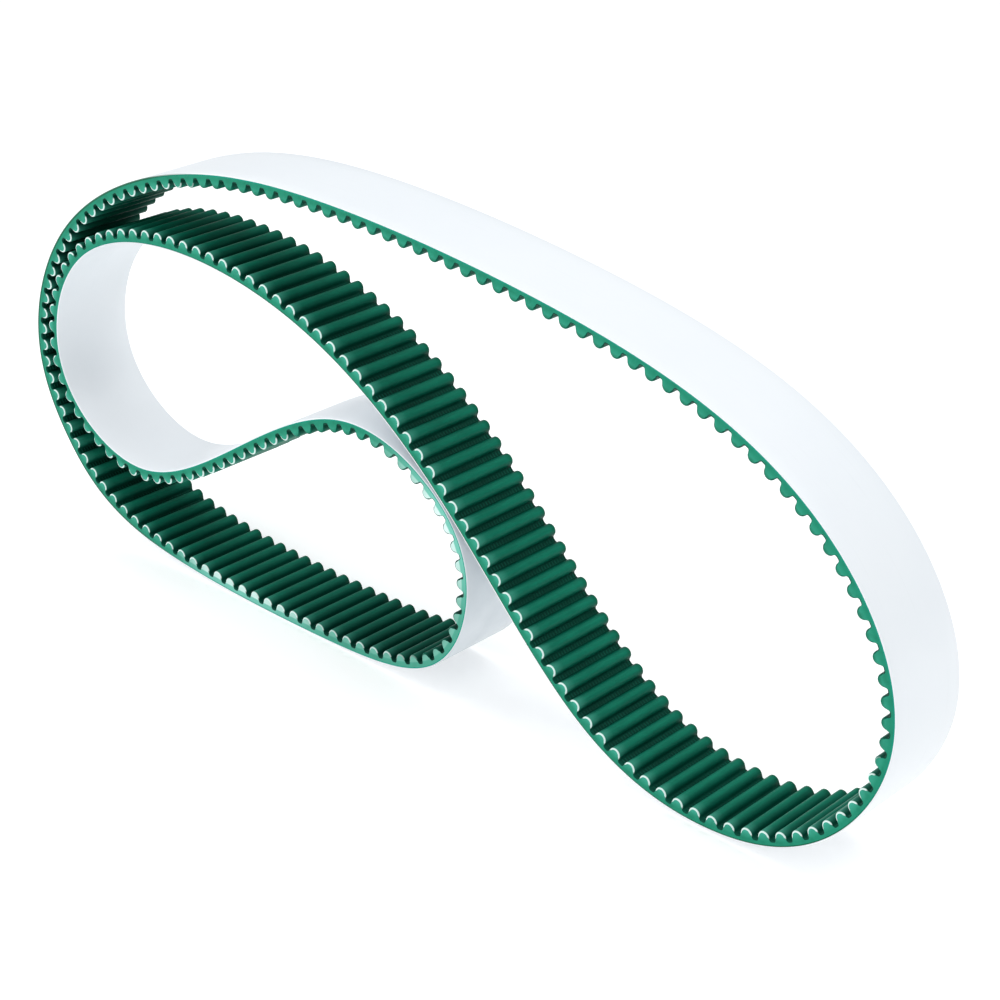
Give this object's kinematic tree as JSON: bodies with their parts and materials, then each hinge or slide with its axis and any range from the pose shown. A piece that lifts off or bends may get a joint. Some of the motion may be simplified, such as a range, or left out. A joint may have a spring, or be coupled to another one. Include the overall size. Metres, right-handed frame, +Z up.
{
  "type": "timing belt",
  "caption": "Wide endless toothed belt with round teeth and a smooth white back, curled into a free loop and standing on its back.",
  "frame": {"origin": "middle of the belt's box, on the surface that it stands on", "axes": "+X along the curled loop's length with the large loop at +X, +Y across the belt's width, +Z up"},
  "size_m": [0.4566, 0.038, 0.1915],
  "materials": {
    "green_polyurethane": "satin",
    "green_backing": "satin",
    "white_cover": "satin",
    "s_lay_steel": "zinc plated",
    "z_lay_steel": "zinc plated"
  },
  "bodies": {
    "root": {"toothed_body": "green_polyurethane", "back_layer": "green_backing", "white_cover": "white_cover", "tension_cord_01": "s_lay_steel", "tension_cord_02": "z_lay_steel", "tension_cord_03": "s_lay_steel", "tension_cord_04": "z_lay_steel", "tension_cord_05": "s_lay_steel", "tension_cord_06": "z_lay_steel", "tension_cord_07": "s_lay_steel", "tension_cord_08": "z_lay_steel", "tension_cord_09": "s_lay_steel", "tension_cord_10": "z_lay_steel", "tension_cord_11": "s_lay_steel", "tension_cord_12": "z_lay_steel", "tension_cord_13": "s_lay_steel", "tension_cord_14": "z_lay_steel", "tension_cord_15": "s_lay_steel", "tension_cord_16": "z_lay_steel", "tension_cord_17": "s_lay_steel", "tension_cord_18": "z_lay_steel", "tension_cord_19": "s_lay_steel", "tension_cord_20": "z_lay_steel", "tension_cord_21": "s_lay_steel", "tension_cord_22": "z_lay_steel", "tension_cord_23": "s_lay_steel", "tension_cord_24": "z_lay_steel"}
  },
  "joints": []
}
